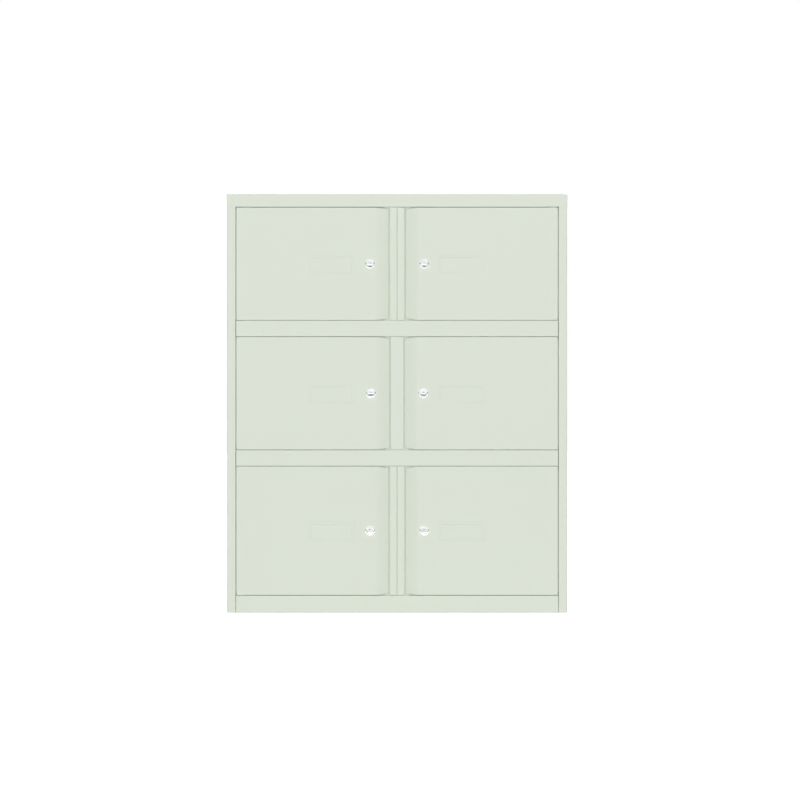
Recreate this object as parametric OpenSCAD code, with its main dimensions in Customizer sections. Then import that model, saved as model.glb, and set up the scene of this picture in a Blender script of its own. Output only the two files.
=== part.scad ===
// Office locker: two columns of three hinged doors in a folded steel carcass.
// Millimetres. +X to the right, +Y to the back, +Z up. The origin is on the floor, under the middle
// of the whole outline. Inside the modules y counts from the front face of the carcass.

/* [Carcass] */
// Width over the two sides
body_w = 798; // [700:1:900]
// Depth from the front face to the back of the top cap
body_d = 470; // [420:1:560]
// Thickness of the carcass sheet
sheet_t = 1; // [0.8:0.1:1.4]
// Inside radius of every bend
bend_r = 1; // [0.6:0.1:1.5]
// Visible gap between a door and its neighbours
seam = 1.2; // [1.2:0.1:2.4]
// Width of the stile at each outer edge
stile_w = 20; // [18:0.5:32]
// Depth of the stile's return behind its front
stile_return = 26; // [24:1:32]
// Width of the flange along the back edge of each side
back_flange_w = 20; // [15:1:30]
// Width of the flanges along the top and the foot of each side
edge_flange_w = 16; // [12:1:24]
// Depth of the overhang of the top cap past each side
cap_overhang = 1; // [0.8:0.1:1.4]
// Height of the lip around the sides and back of the top cap
cap_lip = 27; // [18:1:32]

/* [Rows] */
// Height from the floor to the middle of the seam over the plinth
plinth_h = 41; // [36:0.5:60]
// Height of the lower row, from seam to seam
lower_row_h = 303; // [240:0.5:340]
// Height of the middle row and of the upper row, from seam to seam
row_h = 265.5; // [220:0.5:300]
// Height of a rail between two rows, from seam to seam
rail_h = 38.5; // [30:0.5:50]
// Height of the band along the top, from the seam up
top_band_h = 30.5; // [26:0.5:45]
// Depth of the flanges of the rails, the plinth and the top band
rail_return = 38; // [36:1:48]
// Gap between a rail's end and the stile
rail_gap = 1; // [0.5:0.1:2]
// Gap between the plinth's end and the stile
plinth_gap = 0.7; // [0.5:0.1:2]
// Depth of the plinth's bottom flange
plinth_foot_w = 22; // [15:1:30]

/* [Shelves and partitions] */
// Depth of the flanges around a shelf
shelf_lip = 18; // [12:1:24]
// Clearance between the stile's return and a shelf's front edge
shelf_gap = 0.5; // [0.3:0.1:1]
// Width of the flanges along the top and the foot of a partition
partition_flange_w = 12; // [8:1:18]
// Width of the two half posts together
split_post_w = 37; // [32:0.5:44]
// Gap between the two half posts
split_post_gap = 0.1; // [0:0.1:2]
// Width of the middle post
middle_post_w = 32.5; // [28:0.5:40]
// Inside radius of a post's bends beside the finger pulls
post_bend_r = 3; // [1:0.5:4]
// Distance of the posts behind the front face
post_recess = 2.5; // [1:0.5:4]
// Extra gap at each end of a post, past the seam of the doors
post_end_gap = 0; // [0:0.1:2]

/* [Doors] */
// Thickness of the door sheet
door_t = 1; // [0.8:0.1:1.2]
// Depth of the door's folded outer edge
door_depth = 14; // [13:0.1:14.2]
// Step by which the door's top and bottom edges are less deep than its outer edge
door_edge_step = 0.6; // [0.3:0.1:1]
// Width of the finger pull
pull_w = 29.5; // [26:0.5:30]
// Angle of the crease where the finger pull starts
pull_crease = 12; // [8:1:16]
// Outside radius of that crease
pull_crease_r = 12; // [8:1:16]
// Angle that the finger pull has turned through at its deepest
pull_angle = 32; // [28:1:38]
// Length of the stiffening return behind the finger pull
pull_hem = 14; // [8:1:18]
// Height that the pull's end loses at its deepest edge
pull_trim = 5; // [3:0.5:8]
// Distance from the start of the pull's curve to the start of its sloping ends
pull_trim_start = 1; // [0.5:0.5:4]

/* [Hinges] */
// Distance of the pivot from the door's outer edge
pivot_inset = 15; // [14.5:0.5:18]
// Distance of the pivot behind the front face
pivot_depth = 7; // [6.8:0.1:7.2]
// Radius of a hinge pin
pin_r = 2.5; // [2:0.1:3]
// Running clearance of a pin in its bush
pin_clearance = 0.08; // [0.04:0.01:0.1]
// Radius of a pin's head and collar
pin_collar_r = 4.5; // [4:0.1:5.5]
// Height of a pin's head
pin_head_h = 1.5; // [1:0.1:2]
// Length of a pin inside the door
pin_reach = 7; // [5:0.5:10]
// Outside radius of a hinge bush
bush_r = 4; // [3.6:0.1:5]
// Radius of the bush's flange
bush_flange_r = 5.5; // [5.2:0.1:6.5]
// Thickness of the bush's flange
bush_flange_t = 0.6; // [0.4:0.1:0.8]
// Length of the bush inside the door
bush_reach = 4; // [3:0.5:6]
// Play between a pin's collar and the bush above or below it
hinge_play = 0.2; // [0.1:0.05:0.3]

/* [Door stops] */
// Width of the stops around a doorway
stop_w = 8; // [8:1:12]
// Gap between the swing of a door's outer edge and the stops behind it
stop_swing_gap = 0.5; // [0.3:0.1:1]
// Gap between the stops that meet at a doorway's outer corners
stop_corner_gap = 0.5; // [0.3:0.1:2]
// Gap between the finger pull's return and the ends of the stops beside it
stop_end_gap = 5; // [3:0.5:8]
// Width of the stop on a post, past the side of the post
post_stop_w = 11; // [8:0.5:13]
// Gap between a closed door and the stop on the post
post_stop_gap = 0.5; // [0.3:0.1:1]
// Width of a rubber buffer
buffer_w = 12; // [8:1:16]
// Height of a rubber buffer
buffer_h = 7; // [5:1:8]
// Distance from a buffer to the start of the finger pull
buffer_inset = 22; // [16:1:40]
// Gap between a closed door and its buffers
buffer_gap = 0.3; // [0.2:0.1:0.6]

/* [Locks] */
// Distance of a lock's axis from the door's free edge
lock_inset = 44; // [42:0.5:50]
// Radius of the lock's flange
lock_flange_r = 12; // [11:0.5:13]
// Height of the lock's flange in front of the door
lock_proud = 3; // [2.5:0.1:4]
// Radius of the threaded lock body
lock_body_r = 8; // [7.4:0.1:8.4]
// Gap between the back end of the lock body and the cam
lock_end_gap = 3; // [2.5:0.5:6]
// Radius of the plug
plug_r = 5.6; // [5.2:0.1:6]
// Radius of the plug's round face
plug_face_r = 7.4; // [7:0.1:8]
// Thickness of the plug's round face at its edge
plug_face_t = 1; // [0.8:0.1:1.2]
// Height of the crown on the plug's round face
plug_crown = 0.5; // [0.3:0.1:0.6]
// Distance of the round face's edge behind the lock's crest
plug_inset = 0.6; // [0.6:0.1:0.8]
// Gap around and behind the plug's round face
plug_face_gap = 0.1; // [0.08:0.01:0.15]
// Running clearance of the plug in the lock body
plug_clearance = 0.06; // [0.03:0.01:0.1]
// Width of the keyway
keyway_w = 8; // [7:0.5:8.5]
// Height of the keyway
keyway_h = 1.8; // [1.4:0.1:2.2]
// Width of the slot in a wafer
wafer_slot_w = 7; // [6:0.5:7]
// Number of wafers in a plug
wafer_count = 4; // [3:1:5]
// Thickness of a wafer
wafer_t = 1; // [0.8:0.1:1.2]
// Spacing of the wafers along the plug
wafer_pitch = 2.6; // [2.2:0.1:3]
// Width of a nut across its flats
lock_nut_af = 22; // [20:1:24]
// Thickness of a nut
lock_nut_t = 4; // [3:0.5:5]
// Gap between the stop on a post and the cam
cam_gap = 1; // [0.8:0.1:1.5]
// Thickness of the cam
cam_t = 2.5; // [2:0.1:3]
// Width of the cam
cam_w = 16; // [14:1:18]
// Length of the cam behind the post when it is turned
cam_hook = 7; // [5:0.5:8]
// Width of the square end that drives the cam
drive_w = 7; // [6:0.5:7.5]
// Radius of the cam screw's head
screw_head_r = 4.6; // [4.4:0.1:6]
// Height of the cam screw's head
screw_head_h = 2.4; // [2:0.1:3]
// Radius of the cam screw's shank
screw_r = 2.2; // [1.8:0.1:2.4]
// Length of the cam screw's shank in the plug
screw_len = 7; // [6:0.5:8]

/* [Label holders] */
// Width of a label holder
label_w = 112; // [90:1:120]
// Height of a label holder
label_h = 44; // [38:1:50]
// Width of its window
window_w = 94; // [70:1:96]
// Height of its window
window_h = 32; // [24:1:33]
// Distance of the window's middle to the left of the holder's middle
window_shift = 1.2; // [0:0.1:1.5]
// Distance of the window's middle below the holder's middle
window_drop = 1.4; // [0:0.1:1.5]
// Gap between a lock's flange and the label holder beside it
label_gap = 21.5; // [12:0.5:26]
// Thickness of a label holder
label_t = 1.6; // [1.3:0.1:2]
// Depth of the pocket that takes the card
pocket_t = 0.7; // [0.5:0.1:0.9]
// Radius of the lugs that hold it in the door
lug_r = 1.8; // [1.5:0.1:2.2]

/* [Feet and fixings] */
// Distance of a levelling foot from the outside of the carcass
foot_inset = 45; // [40:1:60]
// Distance of the front feet behind the front face
front_foot_y = 64; // [60:1:90]
// Distance of the back feet in front of the back
back_foot_y = 66; // [60:1:90]
// Radius of a foot's pad
foot_pad_r = 16; // [14:0.5:18]
// Height of a foot's pad
foot_pad_h = 6; // [5:0.5:7]
// Height of a foot's hexagon
foot_hex_h = 4; // [3:0.5:5]
// Radius of a foot's stud
foot_stud_r = 5; // [4:0.5:6]
// Height of a foot's stud above the floor
foot_stud_top = 34; // [32:1:35]
// Thickness of a foot bracket
bracket_t = 3; // [2.5:0.5:4]
// Height of a foot bracket's plate above the floor
bracket_z = 14; // [13:0.5:15]
// Length of a foot bracket along the side
bracket_len = 50; // [40:2:60]
// Height of the nut on a foot bracket
bracket_nut_h = 8; // [6:1:9]
// Radius of the adjuster holes in the base pan
adjuster_hole_r = 7; // [6:0.5:8]
// Radius of the wall-fixing holes in the back panel
wall_hole_r = 4.5; // [3:0.5:6]
// Distance between the two wall-fixing holes
wall_hole_span = 500; // [400:10:600]
// Distance of the wall-fixing holes below the top
wall_hole_drop = 70; // [50:1:90]

/* [Hidden] */
LEFT = -1;
RIGHT = 1;
ROWS = ["lower", "middle", "upper"];
TOP_ROW = len(ROWS) - 1;
SIDES = [[LEFT, "left"], [RIGHT, "right"]];
FOOT_ENDS = ["front", "back"];
DOOR_PIECES = ["door", "hinge_bushes", "label_holder", "lock_body", "lock_plug", "lock_cam"];

CARCASS_NODES = [
    "left_side", "right_side", "back_panel", "top_cap", "base_pan", "plinth",
    "upper_shelf", "lower_shelf", "upper_rail", "lower_rail",
    "upper_left_partition", "upper_right_partition", "middle_partition",
    "lower_left_partition", "lower_right_partition", "middle_post",
    "hinge_pins", "door_stops", "door_buffers", "foot_brackets"
];
DOOR_NODES = [for (row = ROWS, side = SIDES, piece = DOOR_PIECES) str(row, "_", side[1], "_", piece)];
FOOT_NODES = [for (end = FOOT_ENDS, side = SIDES) str(end, "_", side[1], "_foot")];

// Colours
PAINT = [0.86, 0.89, 0.835];
CHROME = [0.82, 0.83, 0.84];
STEEL = [0.62, 0.63, 0.64];
NYLON = [0.9, 0.9, 0.86];
RUBBER = [0.25, 0.25, 0.25];

// Smooth rounds
round_fn = 48;
bend_steps = 4;
crease_steps = 5;
pull_steps = 16;
// Overlap of a cutter past the face that it cuts
cut = 1;
// Clearance of a piece in the hole that holds it fast
held_fit = 0.05;
// Inset of a square corner that meets the outside of a bend and stays within it
function corner_in(t) = (bend_r + t) * (1 - cos(45));

// Overall sizes
half_w = body_w / 2;
body_h = plinth_h + lower_row_h + 2 * row_h + 2 * rail_h + top_band_h;
front_y = (lock_proud - body_d) / 2;
side_d = body_d - sheet_t;
inner_x = half_w - sheet_t;
opening_x = half_w - stile_w;
back_inner_y = side_d - 2 * sheet_t;
back_outer_y = side_d - sheet_t;

// Seam lines over and under each row, from the floor up
row_floor = [plinth_h, plinth_h + lower_row_h + rail_h, plinth_h + lower_row_h + 2 * rail_h + row_h];
row_height = [lower_row_h, row_h, row_h];
function row_ceiling(row) = row_floor[row] + row_height[row];
// Faces of the rails, the plinth and the top band that look into a row's doorway
function doorway_floor(row) = row_floor[row] - seam / 2;
function doorway_ceiling(row) = row_ceiling(row) + seam / 2;
// Upper face of the shelf or base pan under a row, and the lowest face over the row
function pan_top(row) = doorway_floor(row) - sheet_t;
function pan_under(row) = row == TOP_ROW ? body_h - sheet_t : pan_top(row + 1) - sheet_t;
band_z = doorway_ceiling(TOP_ROW);
// Half the length of the rails, of the top band's flange and of the stops on them
flange_half = opening_x - rail_gap;

// Doors
door_outer_x = opening_x - seam;
function door_low(row) = row_floor[row] + seam / 2;
function door_high(row) = row_ceiling(row) - seam / 2;
function door_mid(row) = (door_low(row) + door_high(row)) / 2;
function post_w(row) = row == 1 ? middle_post_w : split_post_w;
function door_free_x(row) = post_w(row) / 2 + seam;
hem_r = bend_r + door_t;
// Outside radius of the pull's curve, from its crease to its last bend
pull_r = (pull_w - pull_crease_r * sin(pull_crease)) / (sin(pull_angle) - sin(pull_crease));
// Straight sheet between the pull's curve and its last bend
pull_flat = 0.2;
function pull_start_x(row) = door_free_x(row)
    + pull_w + pull_flat * cos(pull_angle) + hem_r * (1 - sin(pull_angle));
pull_depth = pull_crease_r * (1 - cos(pull_crease)) + pull_r * (cos(pull_crease) - cos(pull_angle))
    + pull_flat * sin(pull_angle) + hem_r * (1 + cos(pull_angle));

// Locks
function lock_x(row) = door_free_x(row) + lock_inset;
post_return_y = pull_depth + post_stop_gap;
cam_y = post_return_y + sheet_t + cam_gap;
cam_reach = lock_inset + seam + cam_hook;

// The label holders of all the rows stand in line
label_x = lock_x(TOP_ROW) + lock_flange_r + label_gap + label_w / 2;

// Hinges
pivot_x = door_outer_x - pivot_inset;
pin_collar_h = seam - bush_flange_t - hinge_play;

// Front of the stops behind the doors, past the swing of the doors' outer edges
swing_r = norm([pivot_inset, max(pivot_depth, door_depth - pivot_depth)]);
stop_y = pivot_depth + swing_r + stop_swing_gap;

// Feet
foot_x = half_w - foot_inset;
function foot_y(end) = end == "front" ? front_foot_y : body_d - back_foot_y;

// A sheet folded along a line of face points. The sheet lies to the left of the line for side 1 and
// to the right for side -1, and every corner is bent with an inside radius.
function unit(v) = v / norm(v);
function left_of(v) = [-v[1], v[0]];
function turned(v, a) = [v[0] * cos(a) - v[1] * sin(a), v[0] * sin(a) + v[1] * cos(a)];
function at(values, i) = is_list(values) ? values[i] : values;

function bend_arc(a, b, c, r_in, t, side, far, steps) =
    let (
        u = unit(b - a),
        w = unit(c - b),
        turn = sign(u[0] * w[1] - u[1] * w[0]),
        angle = acos(u * w),
        face_r = turn == side ? r_in + t : r_in,
        centre = b - u * face_r * tan(angle / 2) + turn * face_r * left_of(u),
        r = far ? face_r - turn * side * t : face_r
    )
    [for (i = [0:steps]) centre + turned(-turn * r * left_of(u), turn * angle * i / steps)];

function fold_line(path, t, side, far, r_in, steps) =
    let (
        last = len(path) - 1,
        off = far ? side * t : 0
    )
    concat(
        [path[0] + off * left_of(unit(path[1] - path[0]))],
        [for (i = [1:1:last - 1]) let (r = at(r_in, i - 1), n = at(steps, i - 1))
            each bend_arc(path[i - 1], path[i], path[i + 1], r, t, side, far, n)],
        [path[last] + off * left_of(unit(path[last] - path[last - 1]))]
    );

function reversed(list) = [for (i = [len(list) - 1:-1:0]) list[i]];

module folded_sheet(path, t, side, r_in = bend_r, steps = bend_steps) {
    polygon(concat(
        fold_line(path, t, side, false, r_in, steps),
        reversed(fold_line(path, t, side, true, r_in, steps))
    ));
}

// Extrusions of an outline in x and y, in y and z, and in x and z
module upright(z0, z1) translate([0, 0, z0]) linear_extrude(z1 - z0) children();
module crosswise(x0, x1) translate([x0, 0, 0]) rotate([90, 0, 90]) linear_extrude(x1 - x0) children();
module backward(y0, y1) translate([0, y1, 0]) rotate([90, 0, 0]) linear_extrude(y1 - y0) children();

module box(low, high) translate(low) cube(high - low);

// The modules below model the left of the locker, and this turns them over for the right
module on_side(side) {
    if (side == LEFT) children();
    else mirror([1, 0, 0]) children();
}

module both_sides() {
    for (side = SIDES) on_side(side[0]) children();
}

// A cylinder along y that starts at a depth behind the front face
module round_bar(y0, y1, r, fn = round_fn) {
    translate([0, y0, 0]) rotate([-90, 0, 0]) cylinder(r = r, h = y1 - y0, $fn = fn);
}

// Carcass

// Stile, outer wall and back flange are one folded sheet. The stile's face stops under the top band.
module side_panel(side) color(PAINT) on_side(side) {
    difference() {
        upright(0, body_h - sheet_t) folded_sheet([
            [-opening_x, stile_return],
            [-opening_x, 0],
            [-half_w, 0],
            [-half_w, side_d],
            [-half_w + back_flange_w, side_d]
        ], sheet_t, -1);
        box([-half_w - cut, -cut, band_z], [-opening_x + cut, sheet_t, body_h]);
        // Reliefs for the bends inside the cap's front and back edges
        relief_z = body_h - sheet_t - bend_r;
        box([-half_w - cut, -cut, relief_z], [0, sheet_t + bend_r, body_h]);
        box([-half_w - cut, side_d - sheet_t - bend_r, relief_z], [0, side_d + cut, body_h]);
    }
    flange_y0 = rail_return + cut;
    flange_y1 = back_outer_y - plinth_foot_w - cut;
    for (z = [0, body_h - 2 * sheet_t])
        box([-half_w + sheet_t / 2, flange_y0, z], [-half_w + edge_flange_w, flange_y1, z + sheet_t]);
}

// The back panel stops short of the bends inside the sides' back edges
module back_panel() color(PAINT) difference() {
    half = inner_x - bend_r - shelf_gap;
    crosswise(-half, half) folded_sheet([
        [back_outer_y - plinth_foot_w, 0],
        [back_outer_y, 0],
        [back_outer_y, body_h - 2 * sheet_t]
    ], sheet_t, 1);
    for (x = [-1, 1] * wall_hole_span / 2)
        translate([x, 0, body_h - wall_hole_drop])
            round_bar(back_inner_y - cut, back_outer_y + cut, wall_hole_r);
}

// The front band, the top and the back lip are one folded sheet. The band's flange lies between the
// stiles, and over them the band ends square. The side lips lie outside the sides.
module top_cap() color(PAINT) {
    cap_half = half_w + cap_overhang;
    fold_z = band_z + bend_r + sheet_t;
    difference() {
        crosswise(-cap_half, cap_half) folded_sheet([
            [0, fold_z],
            [0, body_h],
            [body_d, body_h],
            [body_d, body_h - cap_lip]
        ], sheet_t, -1);
        both_sides() box(
            [-cap_half - cut, sheet_t, band_z],
            [-inner_x, body_d - sheet_t, body_h - sheet_t]
        );
    }
    difference() {
        crosswise(-flange_half, flange_half) folded_sheet([
            [rail_return, band_z],
            [0, band_z],
            [0, fold_z + sheet_t]
        ], sheet_t, -1);
        both_sides() pin_hole(band_z + sheet_t / 2);
    }
    both_sides() {
        box([-cap_half, 0, band_z], [-opening_x, sheet_t, fold_z + sheet_t]);
        box(
            [-cap_half, sheet_t, body_h - cap_lip],
            [-half_w, body_d - corner_in(sheet_t), body_h - corner_in(sheet_t)]
        );
    }
}

// Channel that closes the front between two rows
module rail(row) color(PAINT) {
    low = doorway_ceiling(row);
    high = doorway_floor(row + 1);
    difference() {
        crosswise(-flange_half, flange_half) folded_sheet([
            [rail_return, high],
            [0, high],
            [0, low],
            [rail_return, low]
        ], sheet_t, 1);
        both_sides() pin_hole(low + sheet_t / 2);
        both_sides() pin_hole(high - sheet_t / 2);
    }
}

module plinth() color(PAINT) {
    high = doorway_floor(0);
    half = opening_x - plinth_gap;
    difference() {
        crosswise(-half, half) folded_sheet([
            [rail_return, high],
            [0, high],
            [0, 0],
            [plinth_foot_w, 0]
        ], sheet_t, 1);
        both_sides() pin_hole(high - sheet_t / 2);
    }
}

// Shelf or base pan with flanges turned down at its sides and back
module pan(row) color(PAINT) {
    z = pan_top(row);
    y0 = stile_return + shelf_gap;
    backward(y0, back_inner_y) folded_sheet([
        [-inner_x, z - shelf_lip],
        [-inner_x, z],
        [inner_x, z],
        [inner_x, z - shelf_lip]
    ], sheet_t, -1);
    end_x = inner_x - corner_in(sheet_t);
    box([-end_x, back_inner_y - sheet_t, z - shelf_lip], [end_x, back_inner_y, z - sheet_t / 2]);
}

module base_pan() color(PAINT) difference() {
    pan(0);
    for (end = FOOT_ENDS)
        both_sides() translate([-foot_x, foot_y(end), pan_top(0) - sheet_t - cut])
            cylinder(r = adjuster_hole_r, h = sheet_t + 2 * cut, $fn = round_fn);
}

// Partitions and posts

// The upright sheet from the front to the back panel. It is cut back round the flanges of the rails
// and round the back flange of the shelf over it.
module partition_web(row, x0, x1, y0) {
    rail_end = rail_return + shelf_gap;
    lip_z = row == TOP_ROW ? pan_under(row) : pan_top(row + 1) - shelf_lip - shelf_gap;
    lip_y = back_inner_y - sheet_t;
    crosswise(x0, x1) polygon([
        [y0, doorway_floor(row)],
        [rail_end, doorway_floor(row)],
        [rail_end, pan_top(row)],
        [back_inner_y, pan_top(row)],
        [back_inner_y, lip_z],
        [lip_y, lip_z],
        [lip_y, pan_under(row)],
        [rail_end, pan_under(row)],
        [rail_end, doorway_ceiling(row)],
        [y0, doorway_ceiling(row)]
    ]);
}

module partition_flanges(row, x0, x1) {
    y0 = rail_return + partition_flange_w;
    y1 = back_inner_y - partition_flange_w;
    for (z = [pan_top(row), pan_under(row) - sheet_t])
        box([x0, y0, z], [x1, y1, z + sheet_t]);
}

function post_low(row) = door_low(row) + post_end_gap;
function post_high(row) = door_high(row) - post_end_gap;

// Half post and partition folded from one sheet
module split_partition(row, side) color(PAINT) on_side(side) {
    face_x = -split_post_gap / 2;
    side_x = -split_post_w / 2;
    upright(post_low(row), post_high(row)) folded_sheet([
        [side_x, post_return_y],
        [side_x, post_recess],
        [face_x, post_recess],
        [face_x, post_return_y]
    ], sheet_t, 1, [post_bend_r, bend_r]);
    partition_web(row, face_x - sheet_t, face_x, post_recess + bend_r + sheet_t);
    partition_flanges(row, face_x - partition_flange_w, face_x - sheet_t / 2);
}

module middle_partition() color(PAINT) {
    partition_web(1, -sheet_t / 2, sheet_t / 2, post_recess + sheet_t);
    partition_flanges(1, -partition_flange_w, 0);
}

module middle_post() color(PAINT) {
    side_x = middle_post_w / 2;
    upright(post_low(1), post_high(1)) folded_sheet([
        [-side_x, post_return_y],
        [-side_x, post_recess],
        [side_x, post_recess],
        [side_x, post_return_y]
    ], sheet_t, 1, post_bend_r);
}

// Hinges

// Hole for a hinge pin in the flange whose middle is at height z
module pin_hole(z) {
    translate([-pivot_x, pivot_depth, z - sheet_t])
        cylinder(r = pin_r + held_fit, h = 2 * sheet_t, $fn = round_fn);
}

// A pin that stands up from the doorway's floor. Its head is under the flange, its collar over it.
module standing_pin() {
    translate([0, 0, -sheet_t - pin_head_h]) cylinder(r = pin_collar_r, h = pin_head_h, $fn = round_fn);
    translate([0, 0, -sheet_t - pin_head_h / 2])
        cylinder(r = pin_r, h = sheet_t + pin_head_h / 2 + seam + pin_reach, $fn = round_fn);
    cylinder(r = pin_collar_r, h = pin_collar_h, $fn = round_fn);
}

module hinge_pins() color(STEEL) {
    for (row = [0:TOP_ROW]) both_sides() {
        translate([-pivot_x, pivot_depth, doorway_floor(row)]) standing_pin();
        translate([-pivot_x, pivot_depth, doorway_ceiling(row)]) mirror([0, 0, 1]) standing_pin();
    }
}

// A bush in the door's lower edge. Its flange is under the edge.
module standing_bush() {
    difference() {
        union() {
            translate([0, 0, -bush_flange_t]) cylinder(r = bush_flange_r, h = bush_flange_t, $fn = round_fn);
            translate([0, 0, -bush_flange_t / 2])
                cylinder(r = bush_r, h = bush_flange_t / 2 + bush_reach, $fn = round_fn);
        }
        translate([0, 0, -bush_flange_t - cut])
            cylinder(r = pin_r + pin_clearance, h = bush_flange_t + bush_reach + 2 * cut, $fn = round_fn);
    }
}

module hinge_bushes(row, side) color(NYLON) on_side(side) {
    translate([-pivot_x, pivot_depth, door_low(row)]) standing_bush();
    translate([-pivot_x, pivot_depth, door_high(row)]) mirror([0, 0, 1]) standing_bush();
}

// Door stops

// Angle strips behind the doors' lower and upper edges, on the flanges of the doorways, flat strips
// beside the stiles, and flat strips on the backs of the posts. The cams turn behind these last.
module door_stops() color(PAINT) {
    for (row = [0:TOP_ROW]) both_sides() {
        z0 = doorway_floor(row);
        z1 = doorway_ceiling(row);
        x1 = -door_free_x(row) - pull_hem - stop_end_gap;
        post_x0 = row == 1 ? -sheet_t / 2 : -split_post_gap / 2 - sheet_t;
        crosswise(-flange_half, x1) folded_sheet([
            [stop_y, z0 + stop_w],
            [stop_y, z0],
            [rail_return, z0]
        ], sheet_t, 1);
        crosswise(-flange_half, x1) folded_sheet([
            [stop_y, z1 - stop_w],
            [stop_y, z1],
            [rail_return, z1]
        ], sheet_t, -1);
        end_gap = stop_w + stop_corner_gap;
        box([-opening_x, stop_y, z0 + end_gap], [-opening_x + stop_w, stop_y + sheet_t, z1 - end_gap]);
        box(
            [-post_w(row) / 2 - post_stop_w, post_return_y, z0],
            [post_x0, post_return_y + sheet_t, z1]
        );
    }
}

// Each buffer lies against a stop
module door_buffers() color(RUBBER) {
    for (row = [0:TOP_ROW]) both_sides() {
        x = -pull_start_x(row) - buffer_inset;
        y = door_depth - door_edge_step + buffer_gap;
        for (z = [doorway_floor(row), doorway_ceiling(row) - buffer_h])
            box([x - buffer_w / 2, y, z], [x + buffer_w / 2, stop_y, z + buffer_h]);
    }
}

// Doors

// Outline of the door sheet from above: folded outer edge, face, pull and its return. The pull
// starts with a crease and goes on in one long curve.
module door_outline(row) {
    crease_reach = pull_crease_r * tan(pull_crease / 2);
    reach = pull_r * tan((pull_angle - pull_crease) / 2);
    along_crease = [cos(pull_crease), sin(pull_crease)];
    along_pull = [cos(pull_angle), sin(pull_angle)];
    crease_corner = [-pull_start_x(row) + crease_reach, 0];
    corner = crease_corner + (crease_reach + reach) * along_crease;
    hem_corner = corner + (reach + pull_flat + hem_r * tan(90 - pull_angle / 2)) * along_pull;
    folded_sheet([
        [-door_outer_x, door_depth],
        [-door_outer_x, 0],
        crease_corner,
        corner,
        hem_corner,
        hem_corner - [pull_hem, 0]
    ], door_t, 1, [bend_r, pull_crease_r - door_t, pull_r - door_t, bend_r],
        [bend_steps, crease_steps, pull_steps, bend_steps]);
}

// Cutter that slopes the upper end of the pull
module pull_end_cutter(row) {
    start = -pull_start_x(row) + pull_trim_start;
    free = -door_free_x(row);
    z = door_high(row);
    backward(-cut, pull_depth + cut) polygon([
        [start, z],
        [free, z - pull_trim],
        [free + cut, z - pull_trim],
        [free + cut, z + cut],
        [start, z + cut]
    ]);
}

module door(row, side) color(PAINT) on_side(side) {
    low = door_low(row);
    high = door_high(row);
    mid = door_mid(row);
    difference() {
        union() {
            upright(low, high) door_outline(row);
            for (z = [low, high - door_t]) box(
                [-door_outer_x + corner_in(door_t), corner_in(door_t), z],
                [-pull_start_x(row), door_depth - door_edge_step, z + door_t]
            );
        }
        pull_end_cutter(row);
        translate([0, 0, 2 * mid]) mirror([0, 0, 1]) pull_end_cutter(row);
        translate([-lock_x(row), 0, mid]) round_bar(-cut, door_t + cut, lock_body_r + held_fit);
        for (z = [low + door_t / 2, high - door_t / 2])
            translate([-pivot_x, pivot_depth, z - door_t])
                cylinder(r = bush_r + held_fit, h = 2 * door_t, $fn = round_fn);
        label_lug_places(row, LEFT) round_bar(-cut, door_t + cut, lug_r + held_fit);
    }
}

// Label holders

module label_place(row, side) {
    translate([side * label_x, 0, door_mid(row)]) children();
}

module label_lug_places(row, side) {
    x = (label_w - lug_r) / 2 - lug_r;
    label_place(row, side) for (end = [-1, 1]) translate([end * x, 0, 0]) children();
}

module rounded_plate(w, h, r) {
    square([w - 2 * r, h], center = true);
    square([w, h - 2 * r], center = true);
    for (x = [-1, 1], z = [-1, 1])
        translate([x * (w / 2 - r), z * (h / 2 - r)]) circle(r = r, $fn = round_fn);
}

// Raised frame with a window, a pocket open at the top, and two lugs through the door. The same
// piece is on the left and the right doors, so its window stands off to the left on both.
module label_holder(row, side) color(PAINT) {
    lip = 2;
    corner_r = 3;
    window_r = 2;
    lug_head = 0.6;
    difference() {
        label_place(row, side) backward(-label_t, 0) rounded_plate(label_w, label_h, corner_r);
        label_place(row, side) translate([-window_shift, 0, -window_drop]) {
            backward(-label_t - cut, cut) rounded_plate(window_w, window_h, window_r);
            box([-window_w / 2 - lip, -pocket_t, -window_h / 2 - lip], [window_w / 2 + lip, cut, label_h]);
        }
    }
    label_lug_places(row, side) {
        round_bar(-label_t / 2, door_t + lug_head, lug_r);
        round_bar(door_t, door_t + lug_head, lug_r + lug_head);
    }
}

// Locks

module lock_place(row) translate([-lock_x(row), 0, door_mid(row)]) children();

// Hexagon nut with flat sides up and down, and a round hole
module hex_nut(y0, y1, af, hole_r) {
    difference() {
        round_bar(y0, y1, af / sqrt(3), 6);
        round_bar(y0 - cut, y1 + cut, hole_r);
    }
}

// Heights of the plug's round face and of its seat, from the lock's crest towards the door
plug_seat = plug_inset + plug_face_t + plug_face_gap;

// Flange with a rounded crest, threaded body and nut
module lock_body(row, side) color(CHROME) on_side(side) lock_place(row) {
    rim_r = plug_face_r + plug_face_gap;
    rim_round = 0.9;
    edge_round = 2.6;
    arc_steps = 6;
    bore_r = plug_r + plug_clearance;
    back = lock_proud + cam_y - lock_end_gap;
    translate([0, -lock_proud, 0]) rotate([-90, 0, 0]) rotate_extrude($fn = round_fn) polygon(concat(
        [[bore_r, plug_seat], [rim_r, plug_seat]],
        [for (i = [0:arc_steps]) let (a = 90 * i / arc_steps)
            [rim_r + rim_round * (1 - cos(a)), rim_round * (1 - sin(a))]],
        [for (i = [0:arc_steps]) let (a = 90 * i / arc_steps)
            [lock_flange_r - edge_round * (1 - sin(a)), edge_round * (1 - cos(a))]],
        [[lock_flange_r, lock_proud], [lock_body_r, lock_proud], [lock_body_r, back], [bore_r, back]]
    ));
    hex_nut(door_t, door_t + lock_nut_t, lock_nut_af, lock_body_r + held_fit);
}

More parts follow.
